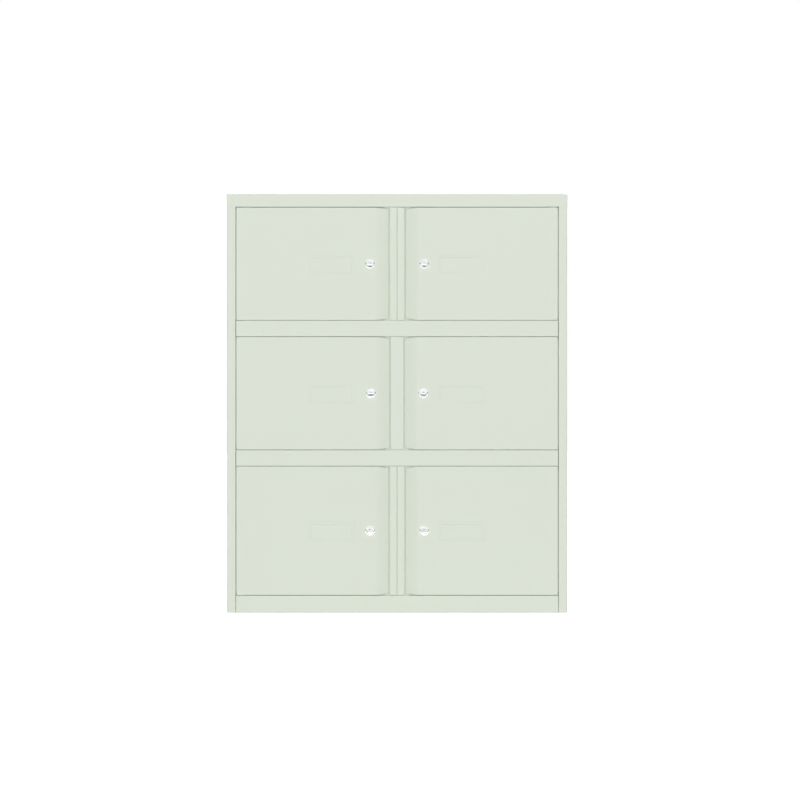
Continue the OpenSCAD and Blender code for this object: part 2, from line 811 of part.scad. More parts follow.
// Round face with a slight crown, which starts at its edge
module plug_face() {
    crown_steps = 5;
    sphere_r = (plug_face_r * plug_face_r + plug_crown * plug_crown) / (2 * plug_crown);
    rotate([-90, 0, 0]) rotate_extrude($fn = round_fn) polygon(concat(
        [for (i = [0:crown_steps]) let (r = plug_face_r * i / crown_steps)
            [r, sphere_r - plug_crown - sqrt(sphere_r * sphere_r - r * r)]],
        [[plug_face_r, plug_face_t], [0, plug_face_t]]
    ));
}

// The plug turns the cam. Its keyway lies level while the lock is open.
module lock_plug(row, side) color(CHROME) on_side(side) lock_place(row) {
    face_y = plug_inset - lock_proud;
    first_wafer_y = face_y + plug_face_t + 2;
    keyway_end = first_wafer_y + wafer_count * wafer_pitch;
    wafer_h = 4.4;
    wafer_gap = 0.05;
    wafer_w = 2 * (sqrt(plug_r * plug_r - wafer_h * wafer_h / 4) - wafer_gap);
    difference() {
        union() {
            translate([0, face_y, 0]) plug_face();
            round_bar(face_y + plug_face_t / 2, cam_y, plug_r);
            backward(cam_y - cut, cam_y + cam_t) square(drive_w, center = true);
        }
        backward(face_y - plug_crown - cut, keyway_end) square([keyway_w, keyway_h], center = true);
        for (i = [0:wafer_count - 1])
            translate([0, first_wafer_y + i * wafer_pitch, 0])
                backward(-wafer_gap, wafer_t + wafer_gap)
                    square([2 * (plug_r + cut), wafer_h + 2 * wafer_gap], center = true);
        round_bar(cam_y + cam_t - screw_len - cut, cam_y + cam_t + cut, screw_r + held_fit);
    }
    for (i = [0:wafer_count - 1])
        translate([0, first_wafer_y + i * wafer_pitch, 0])
            backward(0, wafer_t) difference() {
                square([wafer_w, wafer_h], center = true);
                square([wafer_slot_w, keyway_h], center = true);
            }
}

// Cam and its screw. The cam hangs down while the lock is open.
module lock_cam(row, side) color(STEEL) on_side(side) lock_place(row) {
    drive_fit = 0.1;
    slot_w = 1;
    backward(cam_y, cam_y + cam_t) difference() {
        union() {
            circle(d = cam_w, $fn = round_fn);
            translate([-cam_w / 2, -cam_reach + cam_w / 2]) square([cam_w, cam_reach - cam_w / 2]);
            translate([0, -cam_reach + cam_w / 2]) circle(d = cam_w, $fn = round_fn);
        }
        square(drive_w + drive_fit, center = true);
    }
    head_y = cam_y + cam_t + held_fit;
    difference() {
        union() {
            round_bar(head_y, head_y + screw_head_h, screw_head_r);
            round_bar(cam_y + cam_t - screw_len, head_y + screw_head_h / 2, screw_r);
        }
        box(
            [-screw_head_r - cut, head_y + screw_head_h / 2, -slot_w / 2],
            [screw_head_r + cut, head_y + screw_head_h + cut, slot_w / 2]
        );
    }
}

// Feet

module foot_bracket(end) {
    plate_x0 = -inner_x + sheet_t;
    plate_x1 = -foot_x + foot_pad_r + bracket_t;
    y0 = foot_y(end) - bracket_len / 2;
    y1 = foot_y(end) + bracket_len / 2;
    // The bracket stops under the bend between the base pan and its side flange
    top_z = pan_top(0) - sheet_t - bend_r;
    nut_r = 1.9 * foot_stud_r;
    difference() {
        union() {
            box([plate_x0, y0, bracket_z], [plate_x1, y1, bracket_z + bracket_t]);
            box([plate_x0, y0, bracket_z], [plate_x0 + bracket_t, y1, top_z]);
            translate([-foot_x, foot_y(end), bracket_z + bracket_t / 2])
                cylinder(r = nut_r, h = bracket_t / 2 + bracket_nut_h, $fn = 6);
        }
        translate([-foot_x, foot_y(end), bracket_z - cut])
            cylinder(r = foot_stud_r + held_fit, h = bracket_t + bracket_nut_h + 2 * cut, $fn = round_fn);
    }
}

module foot_brackets() color(STEEL) {
    for (end = FOOT_ENDS) both_sides() foot_bracket(end);
}

// Pad, hexagon and stud with a screwdriver slot in its top
module foot(end, side) color(RUBBER) on_side(side) translate([-foot_x, foot_y(end), 0]) {
    slot_w = 1.6;
    slot_d = 2;
    difference() {
        union() {
            cylinder(r = foot_pad_r, h = foot_pad_h, $fn = round_fn);
            cylinder(r = 1.6 * foot_stud_r, h = foot_pad_h + foot_hex_h, $fn = 6);
            cylinder(r = foot_stud_r, h = foot_stud_top, $fn = round_fn);
        }
        box(
            [-foot_stud_r - cut, -slot_w / 2, foot_stud_top - slot_d],
            [foot_stud_r + cut, slot_w / 2, foot_stud_top + cut]
        );
    }
}

// The piece of a door by its name
module door_piece(row, side, piece) {
    if (piece == "door") door(row, side);
    if (piece == "hinge_bushes") hinge_bushes(row, side);
    if (piece == "label_holder") label_holder(row, side);
    if (piece == "lock_body") lock_body(row, side);
    if (piece == "lock_plug") lock_plug(row, side);
    if (piece == "lock_cam") lock_cam(row, side);
}

// Moves a module's depths, which count from the front face, to the locker's own origin
module placed() translate([0, front_y, 0]) children();

placed() side_panel(LEFT);  // left_side
placed() side_panel(RIGHT);  // right_side
placed() back_panel();
placed() top_cap();
placed() base_pan();
placed() plinth();
placed() pan(2);  // upper_shelf
placed() pan(1);  // lower_shelf
placed() rail(1);  // upper_rail
placed() rail(0);  // lower_rail
placed() split_partition(2, LEFT);  // upper_left_partition
placed() split_partition(2, RIGHT);  // upper_right_partition
placed() middle_partition();
placed() split_partition(0, LEFT);  // lower_left_partition
placed() split_partition(0, RIGHT);  // lower_right_partition
placed() middle_post();
placed() hinge_pins();
placed() door_stops();
placed() door_buffers();
placed() foot_brackets();
for (row = [0:TOP_ROW], side = SIDES, piece = DOOR_PIECES)
    placed() door_piece(row, side[0], piece);
for (end = FOOT_ENDS, side = SIDES)
    placed() foot(end, side[0]);
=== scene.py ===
"""Office locker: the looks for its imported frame.

Laid out as a Blender add-on and run as a script. Every piece is made in metres at its own place in the
frame, and rides on one of the frame's bodies.
"""

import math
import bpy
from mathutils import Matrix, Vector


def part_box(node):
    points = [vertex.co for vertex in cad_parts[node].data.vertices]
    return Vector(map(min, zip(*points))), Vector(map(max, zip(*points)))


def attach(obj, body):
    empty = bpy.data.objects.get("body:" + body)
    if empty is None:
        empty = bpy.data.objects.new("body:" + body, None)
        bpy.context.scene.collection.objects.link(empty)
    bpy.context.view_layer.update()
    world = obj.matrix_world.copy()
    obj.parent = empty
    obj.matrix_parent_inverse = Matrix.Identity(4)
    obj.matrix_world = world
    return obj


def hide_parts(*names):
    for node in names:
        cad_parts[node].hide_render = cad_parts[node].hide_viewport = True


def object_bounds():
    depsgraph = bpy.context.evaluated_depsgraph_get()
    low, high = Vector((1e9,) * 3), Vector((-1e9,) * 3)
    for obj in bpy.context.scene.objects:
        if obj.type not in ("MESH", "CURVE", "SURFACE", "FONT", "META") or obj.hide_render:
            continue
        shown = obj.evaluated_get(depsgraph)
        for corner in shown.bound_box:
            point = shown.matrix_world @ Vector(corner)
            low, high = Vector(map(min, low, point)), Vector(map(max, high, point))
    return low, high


bl_info = {
    "name": "Office Locker",
    "version": (1, 0, 0),
    "blender": (4, 5, 0),
    "location": "View3D > Sidebar > Locker",
    "description": "Sheet pieces, doors, locks, hinges, feet and studio of a six-door office locker",
    "category": "Object",
}

import bmesh
import bpy
from bpy.props import FloatProperty, FloatVectorProperty, IntProperty, PointerProperty
from bpy.types import Operator, Panel, PropertyGroup
from mathutils import Vector

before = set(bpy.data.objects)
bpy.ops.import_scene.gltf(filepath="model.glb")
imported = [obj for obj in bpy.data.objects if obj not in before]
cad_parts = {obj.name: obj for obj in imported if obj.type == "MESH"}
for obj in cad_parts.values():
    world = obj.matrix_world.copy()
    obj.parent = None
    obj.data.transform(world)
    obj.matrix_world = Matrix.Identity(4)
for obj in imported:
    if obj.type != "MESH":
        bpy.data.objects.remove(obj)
CAD_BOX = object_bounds()

MM = 0.001
ROWS = ("lower", "middle", "upper")
SIDES = ("left", "right")
DOORS = [f"{row}_{side}" for row in ROWS for side in SIDES]
FEET = [f"{end}_{side}_foot" for end in ("front", "back") for side in SIDES]
SHEET_NODES = (
    "left_side", "right_side", "back_panel", "top_cap", "base_pan", "upper_shelf", "lower_shelf",
    "upper_left_partition", "upper_right_partition", "middle_partition",
    "lower_left_partition", "lower_right_partition", "door_stops",
)
FRONT_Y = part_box("plinth")[0].y

# Faces that turn by less than the first angle are one, and those that turn by less than the second
# are shaded smooth. Points nearer to each other than MERGE_BELOW are one, and points nearer to a
# plane than TOUCH lie in it.
FLAT_BELOW = math.radians(0.6)
SMOOTH_BELOW = math.radians(34)
MERGE_BELOW = 0.002 * MM
TOUCH = 0.01 * MM

# The picture's middle lies this far to the right of the locker's and above it.
AIM_ASIDE = 6.8 * MM
AIM_ABOVE = 8.2 * MM


# Sizes and colours that a user would change

class LockerPaint(PropertyGroup):
    """Powder coat on the sheet pieces and the label holders."""

    colour: FloatVectorProperty(
        name="Colour", description="Colour of the powder coat", subtype="COLOR", size=3,
        min=0, max=1, default=(0.716, 0.768, 0.672),
    )
    roughness: FloatProperty(
        name="Roughness", description="Roughness of the powder coat", subtype="FACTOR",
        min=0, max=1, default=0.42,
    )
    peel_size: FloatProperty(
        name="Orange peel size", description="Distance between the swells of the orange peel",
        subtype="DISTANCE", unit="LENGTH", min=0.5 * MM, max=10 * MM, default=2.6 * MM,
    )
    peel_height: FloatProperty(
        name="Orange peel height", description="Height of the swells of the orange peel",
        subtype="DISTANCE", unit="LENGTH", min=0, max=0.2 * MM, default=0.02 * MM,
    )


class LockerSheet(PropertyGroup):
    """Folded sheet pieces."""

    cut_edge: FloatProperty(
        name="Cut edge", description="Rounding of a cut edge under its paint",
        subtype="DISTANCE", unit="LENGTH", min=0.05 * MM, max=0.4 * MM, default=0.2 * MM,
    )
    fold_edge: FloatProperty(
        name="Fold edge", description="Rounding of the folds along a door's top and foot",
        subtype="DISTANCE", unit="LENGTH", min=0.2 * MM, max=1.2 * MM, default=0.8 * MM,
    )
    thickness: FloatProperty(
        name="Thickness", description="Thickness of the rails, the plinth and the middle post",
        subtype="DISTANCE", unit="LENGTH", min=0.6 * MM, max=1.6 * MM, default=1 * MM,
    )
    bend_radius: FloatProperty(
        name="Bend radius", description="Outside radius of a fold in the rails and the plinth",
        subtype="DISTANCE", unit="LENGTH", min=0.5 * MM, max=4 * MM, default=1.5 * MM,
    )
    post_bend_radius: FloatProperty(
        name="Post bend radius", description="Outside radius of the folds in the middle post",
        subtype="DISTANCE", unit="LENGTH", min=0.5 * MM, max=6 * MM, default=4 * MM,
    )
    stop_reach: FloatProperty(
        name="Stop reach", description="Length that the angle strips go on behind the finger pulls",
        subtype="DISTANCE", unit="LENGTH", min=0, max=12 * MM, default=9.5 * MM,
    )
    buffer_margin: FloatProperty(
        name="Buffer margin", description="Distance from a buffer to the door's edge in front of it",
        subtype="DISTANCE", unit="LENGTH", min=0, max=2 * MM, default=0.6 * MM,
    )


class LockerWelds(PropertyGroup):
    """Marks that the spot welds leave under the paint."""

    spacing: FloatProperty(
        name="Spacing", description="Distance between two weld marks in a row",
        subtype="DISTANCE", unit="LENGTH", min=20 * MM, max=200 * MM, default=92 * MM,
    )
    radius: FloatProperty(
        name="Radius", description="Radius of a weld mark",
        subtype="DISTANCE", unit="LENGTH", min=1 * MM, max=5 * MM, default=2.4 * MM,
    )
    height: FloatProperty(
        name="Height", description="Height of a weld mark's rim over the sheet",
        subtype="DISTANCE", unit="LENGTH", min=0.02 * MM, max=0.4 * MM, default=0.12 * MM,
    )
    seed: IntProperty(
        name="Seed", description="Seed of the small differences between the marks", default=7,
    )


class LockerLock(PropertyGroup):
    """Cam locks."""

    steps: IntProperty(
        name="Steps", description="Steps around a lock's round faces", min=24, max=192, default=96,
    )
    thread_pitch: FloatProperty(
        name="Thread pitch", description="Distance between two turns of the lock body's thread",
        subtype="DISTANCE", unit="LENGTH", min=0.5 * MM, max=3 * MM, default=1.5 * MM,
    )
    colour: FloatVectorProperty(
        name="Plating colour", description="Colour of the bright plating", subtype="COLOR", size=3,
        min=0, max=1, default=(0.93, 0.935, 0.94),
    )


class LockerStage(PropertyGroup):
    """Studio around the locker."""

    distance: FloatProperty(
        name="Camera distance", description="Distance of the camera in front of the doors",
        subtype="DISTANCE", unit="LENGTH", min=1, max=30, default=20,
    )
    lens: FloatProperty(
        name="Lens", description="Focal length of the camera in millimetres",
        min=20, max=600, default=383.3,
    )
    aim: FloatVectorProperty(
        name="Aim", description="Point over the floor that the camera looks at, straight on",
        subtype="TRANSLATION", size=3, unit="LENGTH",
        default=(AIM_ASIDE, FRONT_Y, (CAD_BOX[0].z + CAD_BOX[1].z) / 2 + AIM_ABOVE),
    )
    fill: FloatProperty(
        name="Fill light", description="Strength of the light from all round",
        min=0, max=2, default=0.4,
    )
    key: FloatProperty(
        name="Key light", description="Power of the large soft lamp ahead and above",
        subtype="POWER", unit="POWER", min=0, max=500, default=16,
    )
    front: FloatProperty(
        name="Front light", description="Power of the small soft lamp behind the camera",
        subtype="POWER", unit="POWER", min=0, max=8000, default=2460,
    )


GROUPS = {
    "locker_paint": LockerPaint,
    "locker_sheet": LockerSheet,
    "locker_welds": LockerWelds,
    "locker_lock": LockerLock,
    "locker_stage": LockerStage,
}


# Nodes

class Wire:
    """An output of a node that takes part in plain arithmetic."""

    def __init__(self, maker, socket):
        self.maker = maker
        self.socket = socket

    def math(self, operation, first, second):
        return self.maker.node("ShaderNodeMath", {"operation": operation}, {0: first, 1: second})

    def __add__(self, other):
        return self.math("ADD", self, other)

    def __sub__(self, other):
        return self.math("SUBTRACT", self, other)

    def __rsub__(self, other):
        return self.math("SUBTRACT", other, self)

    def __mul__(self, other):
        return self.math("MULTIPLY", self, other)

    def __truediv__(self, other):
        return self.math("DIVIDE", self, other)

    def __rtruediv__(self, other):
        return self.math("DIVIDE", other, self)

    __radd__ = __add__
    __rmul__ = __mul__


class NodeMaker:
    """Makes and links the nodes of one material, world or geometry tree."""

    def __init__(self, tree):
        self.tree = tree
        tree.nodes.clear()

    def node(self, kind, settings=None, inputs=None, output=0):
        """Add a node, set it up, then set or link its sockets, and give one of its outputs."""
        made = self.tree.nodes.new(kind)
        for key, value in (settings or {}).items():
            setattr(made, key, value)
        for key, value in (inputs or {}).items():
            for one in value if isinstance(value, list) else [value]:
                self.feed(made.inputs[key], one)
        return Wire(self, made.outputs[output]) if made.outputs else made

    def feed(self, socket, value):
        if isinstance(value, Wire):
            self.tree.links.new(value.socket, socket)
        else:
            socket.default_value = value

    def noise(self, place, size, detail=2.0, roughness=0.5):
        """Noise from 0 to 1 whose features are about as large as size, in metres."""
        return self.node(
            "ShaderNodeTexNoise", {"noise_dimensions": "3D"},
            {"Vector": place, "Scale": 1 / size, "Detail": detail, "Roughness": roughness},
        )

    def blend(self, factor, first, second):
        """A colour between two colours."""
        return self.node(
            "ShaderNodeMix", {"data_type": "RGBA"}, {0: factor, 6: first, 7: second}, output=2,
        )

    def ramp(self, value, low, high):
        """0 up to the low value, 1 from the high value on, and smooth between them."""
        return self.node(
            "ShaderNodeMapRange", {"interpolation_type": "SMOOTHSTEP"},
            {"Value": value, "From Min": low, "From Max": high},
        )

    def bump(self, height, distance):
        return self.node("ShaderNodeBump", None, {"Height": height, "Distance": distance})


def shade(colour, factor):
    """A colour made lighter or darker, as four numbers."""
    return tuple(min(1.0, part * factor) for part in colour[:3]) + (1.0,)


def new_material(name, constants, varied):
    """A material on one Principled shader. varied makes its changing sockets from a NodeMaker and
    the object's own coordinates."""
    if name in bpy.data.materials:
        return bpy.data.materials[name]
    made = bpy.data.materials.new(name)
    made.use_nodes = True
    maker = NodeMaker(made.node_tree)
    place = maker.node("ShaderNodeTexCoord", output="Object")
    inputs = dict(constants)
    inputs.update(varied(maker, place))
    shader = maker.node("ShaderNodeBsdfPrincipled", None, inputs)
    maker.node("ShaderNodeOutputMaterial", None, {"Surface": shader})
    return made


def powder_coat():
    """Satin powder coat: orange peel, a fine grain, slow differences of tone and a thinner coat on
    cut and folded edges."""
    paint = bpy.context.scene.locker_paint
    colour = paint.colour

    def varied(maker, place):
        drift = maker.noise(place, 0.28, detail=3)
        handled = maker.noise(place, 0.045, detail=4, roughness=0.6)
        peel = maker.noise(place, paint.peel_size, detail=1.5)
        grain = maker.noise(place, 0.55 * MM, detail=1)
        edge = maker.node(
            "ShaderNodeAttribute", {"attribute_name": "edge", "attribute_type": "GEOMETRY"},
            output="Fac",
        )
        face = maker.blend(drift, shade(colour, 0.988), shade(colour, 1.012))
        return {
            "Base Color": maker.blend(edge * 0.5, face, shade(colour, 1.03)),
            "Roughness": paint.roughness + (handled - 0.5) * 0.12 + edge * 0.05,
            "Normal": maker.bump(peel + grain * 0.12, paint.peel_height),
        }

    return new_material("powder_coat", {"Specular IOR Level": 0.5, "IOR": 1.5}, varied)


def moulded_holder():
    """Moulded plastic in the colour of the paint, with a fine spark texture."""
    colour = bpy.context.scene.locker_paint.colour

    def varied(maker, place):
        flow = maker.noise(place, 0.02, detail=2)
        spark = maker.noise(place, 0.45 * MM, detail=3, roughness=0.7)
        return {
            "Base Color": maker.blend(flow, shade(colour, 0.985), shade(colour, 1.005)),
            "Roughness": 0.4 + spark * 0.14,
            "Normal": maker.bump(spark, 0.008 * MM),
        }

    return new_material("moulded_holder", {"IOR": 1.48}, varied)


def bright_plating():
    """Bright plating of the locks, with faint smears from keys and fingers."""
    colour = bpy.context.scene.locker_lock.colour

    def varied(maker, place):
        smear = maker.noise(place, 6 * MM, detail=4, roughness=0.6)
        pits = maker.noise(place, 0.8 * MM, detail=2)
        return {
            "Base Color": maker.blend(smear, shade(colour, 0.96), shade(colour, 1.03)),
            "Roughness": 0.07 + smear * 0.08,
            "Normal": maker.bump(pits, 0.002 * MM),
        }

    return new_material("bright_plating", {"Metallic": 1.0}, varied)


def zinc_plating():
    """Dull zinc on the pins, cams, screws, brackets and the feet's studs."""

    def varied(maker, place):
        cloud = maker.noise(place, 9 * MM, detail=4, roughness=0.65)
        crystals = maker.node(
            "ShaderNodeTexVoronoi", {"feature": "F1"}, {"Vector": place, "Scale": 1 / (1.6 * MM)},
        )
        tone = cloud * 0.7 + crystals * 0.3
        return {
            "Base Color": maker.blend(tone, (0.5, 0.51, 0.52, 1), (0.68, 0.68, 0.66, 1)),
            "Roughness": 0.28 + cloud * 0.16,
            "Normal": maker.bump(crystals, 0.006 * MM),
        }

    return new_material("zinc_plating", {"Metallic": 1.0}, varied)


def bush_nylon():
    """Natural nylon of the hinge bushes."""

    def varied(maker, place):
        cloud = maker.noise(place, 3 * MM, detail=3)
        return {
            "Base Color": maker.blend(cloud, (0.72, 0.7, 0.62, 1), (0.8, 0.79, 0.72, 1)),
            "Roughness": 0.42 + cloud * 0.12,
            "Normal": maker.bump(cloud, 0.01 * MM),
        }

    return new_material("bush_nylon", {"IOR": 1.53}, varied)


def buffer_rubber():
    """Matt black rubber with dust in its grain."""

    def varied(maker, place):
        grain = maker.noise(place, 0.7 * MM, detail=4, roughness=0.7)
        dust = maker.noise(place, 5 * MM, detail=3)
        return {
            "Base Color": maker.blend(dust * grain, (0.02, 0.02, 0.02, 1), (0.1, 0.1, 0.095, 1)),
            "Roughness": 0.7 + grain * 0.2,
            "Normal": maker.bump(grain, 0.03 * MM),
        }

    return new_material("buffer_rubber", {"IOR": 1.52}, varied)


def foot_plastic():
    """Dark moulded plastic of the levelling feet, with scuffs."""

    def varied(maker, place):
        scuff = maker.noise(place, 2.4 * MM, detail=5, roughness=0.7)
        grain = maker.noise(place, 0.5 * MM, detail=2)
        return {
            "Base Color": maker.blend(scuff, (0.03, 0.03, 0.032, 1), (0.075, 0.075, 0.078, 1)),
            "Roughness": 0.45 + scuff * 0.25,
            "Normal": maker.bump(scuff + grain * 0.4, 0.02 * MM),
        }

    return new_material("foot_plastic", {"IOR": 1.49}, varied)


# Mesh helpers

def cad_mesh(node):
    """A copy of a CAD node's mesh with its triangles merged into whole faces."""
    made = bmesh.new()
    made.from_mesh(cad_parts[node].data)
    bmesh.ops.remove_doubles(made, verts=made.verts, dist=MERGE_BELOW)
    bmesh.ops.dissolve_limit(made, angle_limit=FLAT_BELOW, verts=made.verts, edges=made.edges)
    return made


def edge_layer(made):
    return made.faces.layers.float.get("edge") or made.faces.layers.float.new("edge")


def round_edges(made, width, steps=2, choose=None):
    """Round the outward edges that choose picks, and mark their new faces as edges of the coat."""
    edge_layer(made)
    picked = [
        edge for edge in made.edges
        if edge.is_manifold and edge.calc_face_angle(0) > SMOOTH_BELOW and edge.is_convex
        and (choose is None or choose(edge))
    ]
    if not picked:
        raise RuntimeError("there is no edge to round")
    rounded = bmesh.ops.bevel(
        made, geom=picked, offset=width, offset_type="OFFSET", segments=steps, profile=0.5,
        affect="EDGES", clamp_overlap=False, loop_slide=True,
    )
    layer = edge_layer(made)
    for face in rounded["faces"]:
        face[layer] = 1


def outward(made, faces=None):
    bmesh.ops.recalc_face_normals(made, faces=faces or made.faces)


def lathe(made, profile, place, axis="Y", steps=96):
    """Turn a profile of (radius, distance) pairs about an axis. The profile runs from pole to pole
    on the axis, or closes on itself."""
    rings = []
    for radius, far in profile:
        count = 1 if radius == 0 else steps
        ring = []
        for i in range(count):
            angle = 2 * math.pi * i / steps
            side, up = radius * math.cos(angle), radius * math.sin(angle)
            offset = Vector((side, far, up)) if axis == "Y" else Vector((side, up, far))
            ring.append(made.verts.new(Vector(place) + offset))
        rings.append(ring)
    faces = []
    joins = list(zip(rings, rings[1:]))
    if profile[0][0] > 0:
        joins.append((rings[-1], rings[0]))
    for first, second in joins:
        for i in range(steps):
            j = (i + 1) % steps
            corners = [first[i % len(first)], first[j % len(first)],
                       second[j % len(second)], second[i % len(second)]]
            corners = list(dict.fromkeys(corners))
            faces.append(made.faces.new(corners))
    outward(made, faces)


def arc(centre, radius, start, end, steps):
    """Points of an arc in a profile, with the angles in degrees and a radius for each axis."""
    wide, deep = radius if isinstance(radius, tuple) else (radius, radius)
    turns = [math.radians(start + (end - start) * i / steps) for i in range(steps + 1)]
    return [(centre[0] + wide * math.cos(a), centre[1] + deep * math.sin(a)) for a in turns]


def block(made, low, high):
    """A closed block between two corners."""
    corners = [
        made.verts.new((x, y, z))
        for x in (low[0], high[0]) for y in (low[1], high[1]) for z in (low[2], high[2])
    ]
    faces = [
        made.faces.new([corners[i] for i in ring])
        for ring in ((0, 1, 3, 2), (4, 6, 7, 5), (0, 4, 5, 1), (2, 3, 7, 6), (0, 2, 6, 4), (1, 5, 7, 3))
    ]
    outward(made, faces)


def as_mesh(name, made):
    """A mesh in the making, ended and stored."""
    mesh = bpy.data.meshes.new(name)
    made.to_mesh(mesh)
    made.free()
    return mesh


def opened(mesh):
    """A stored mesh taken back into the making. The stored one goes."""
    made = bmesh.new()
    made.from_mesh(mesh)
    bpy.data.meshes.remove(mesh)
    return made


def as_object(name, data):
    """An object in the scene with this mesh, lamp or camera."""
    made = bpy.data.objects.new(name, data)
    bpy.context.scene.collection.objects.link(made)
    return made


def applied(carrier):
    """The carrier's mesh with its modifiers worked in. The carrier goes."""
    graph = bpy.context.evaluated_depsgraph_get()
    mesh = bpy.data.meshes.new_from_object(
        carrier.evaluated_get(graph), preserve_all_data_layers=True, depsgraph=graph,
    )
    carrier.modifiers.clear()
    bpy.data.objects.remove(carrier)
    return mesh


def cut_out(made, low, high):
    """Cut a block out of a mesh."""
    cutter = bmesh.new()
    block(cutter, low, high)
    body, tool = (as_object("cut_shape", as_mesh("cut_shape", shape)) for shape in (made, cutter))
    modifier = body.modifiers.new("cut", "BOOLEAN")
    modifier.operation = "DIFFERENCE"
    modifier.solver = "EXACT"
    modifier.object = tool
    mesh = applied(body)
    bpy.data.objects.remove(tool)
    return opened(mesh)


def finished(name, made, material, body, nodes):
    """Turn a mesh in the making into a shaded piece that rides on a body and stands for nodes."""
    edge_layer(made)
    for face in made.faces:
        face.smooth = True
    for edge in made.edges:
        edge.smooth = edge.is_manifold and edge.calc_face_angle(0) < SMOOTH_BELOW
    mesh = as_mesh(name, made)
    mesh.materials.append(material)
    carrier = as_object("shading", mesh)
    weighted = carrier.modifiers.new("shading", "WEIGHTED_NORMAL")
    weighted.keep_sharp = True
    weighted.weight = 80
    shaded = applied(carrier)
    shaded.name = name
    bpy.data.meshes.remove(mesh)
    piece = as_object(name, shaded)
    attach(piece, body)
    if nodes:
        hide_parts(*nodes)


# Geometry trees

def geometry_tree(name, inputs):
    """A new geometry tree with named inputs, its maker, and the wires of its inputs by name."""
    tree = bpy.data.node_groups.new(name, "GeometryNodeTree")
    maker = NodeMaker(tree)
    tree.interface.new_socket("Geometry", in_out="INPUT", socket_type="NodeSocketGeometry")
    for label, kind in inputs.items():
        tree.interface.new_socket(label, in_out="INPUT", socket_type=kind)
    tree.interface.new_socket("Geometry", in_out="OUTPUT", socket_type="NodeSocketGeometry")
    entry = tree.nodes.new("NodeGroupInput")
    wires = {socket.name: Wire(maker, socket) for socket in entry.outputs if socket.name}
    return tree, maker, wires


def close_tree(maker, geometry, material):
    """End a geometry tree in plain geometry with its material."""
    real = maker.node("GeometryNodeRealizeInstances", None, {"Geometry": geometry})
    painted = maker.node("GeometryNodeSetMaterial", None, {"Geometry": real, "Material": material})
    maker.node("NodeGroupOutput", None, {"Geometry": painted})


def folded_sheet_tree():
    """A sheet folded along a line: the corners are rounded, the line is drawn out along Run, and the
    wall is added on the inner side."""
    tree, maker, wires = geometry_tree("folded_sheet", {
        "Bend radius": "NodeSocketFloat",
        "Bend steps": "NodeSocketInt",
        "Run": "NodeSocketVector",
        "Thickness": "NodeSocketFloat",
        "Material": "NodeSocketMaterial",
    })
    line = maker.node("GeometryNodeMeshToCurve", None, {"Mesh": wires["Geometry"]})
    bent = maker.node("GeometryNodeFilletCurve", {"mode": "POLY"}, {
        "Curve": line, "Count": wires["Bend steps"], "Radius": wires["Bend radius"],
    })
    edges = maker.node("GeometryNodeCurveToMesh", None, {"Curve": bent})
    skin = maker.node("GeometryNodeExtrudeMesh", {"mode": "EDGES"}, {
        "Mesh": edges, "Offset": wires["Run"], "Offset Scale": 1.0,
    })
    inner = maker.node("GeometryNodeFlipFaces", None, {"Mesh": skin})
    wall = maker.node("GeometryNodeExtrudeMesh", {"mode": "FACES"}, {
        "Mesh": inner, "Offset Scale": wires["Thickness"], "Individual": False,
    })
    joined = maker.node("GeometryNodeJoinGeometry", None, {"Geometry": [wall, skin]})
    merged = maker.node("GeometryNodeMergeByDistance", None, {
        "Geometry": joined, "Distance": MERGE_BELOW,
    })
    close_tree(maker, merged, wires["Material"])
    return tree


def thread_tree():
    """A screw thread on each point of a mesh: one square ridge, a corner outwards, wound round the
    point's axis up to the crest radius."""
    tree, maker, wires = geometry_tree("screw_thread", {
        "Crest radius": "NodeSocketFloat",
        "Depth": "NodeSocketFloat",
        "Pitch": "NodeSocketFloat",
        "Length": "NodeSocketFloat",
        "Turn": "NodeSocketVector",
        "Steps": "NodeSocketInt",
        "Material": "NodeSocketMaterial",
    })
    middle = wires["Crest radius"] - wires["Depth"]
    spiral = maker.node("GeometryNodeCurveSpiral", None, {
        "Resolution": wires["Steps"], "Rotations": wires["Length"] / wires["Pitch"],
        "Start Radius": middle, "End Radius": middle, "Height": wires["Length"],
    })
    ridge = maker.node("GeometryNodeCurvePrimitiveCircle", {"mode": "RADIUS"}, {
        "Resolution": 4, "Radius": wires["Depth"],
    })
    wound = maker.node("GeometryNodeCurveToMesh", None, {
        "Curve": spiral, "Profile Curve": ridge, "Fill Caps": True,
    })
    placed = maker.node("GeometryNodeInstanceOnPoints", None, {
        "Points": wires["Geometry"], "Instance": wound, "Rotation": wires["Turn"],
    })
    close_tree(maker, placed, wires["Material"])
    return tree


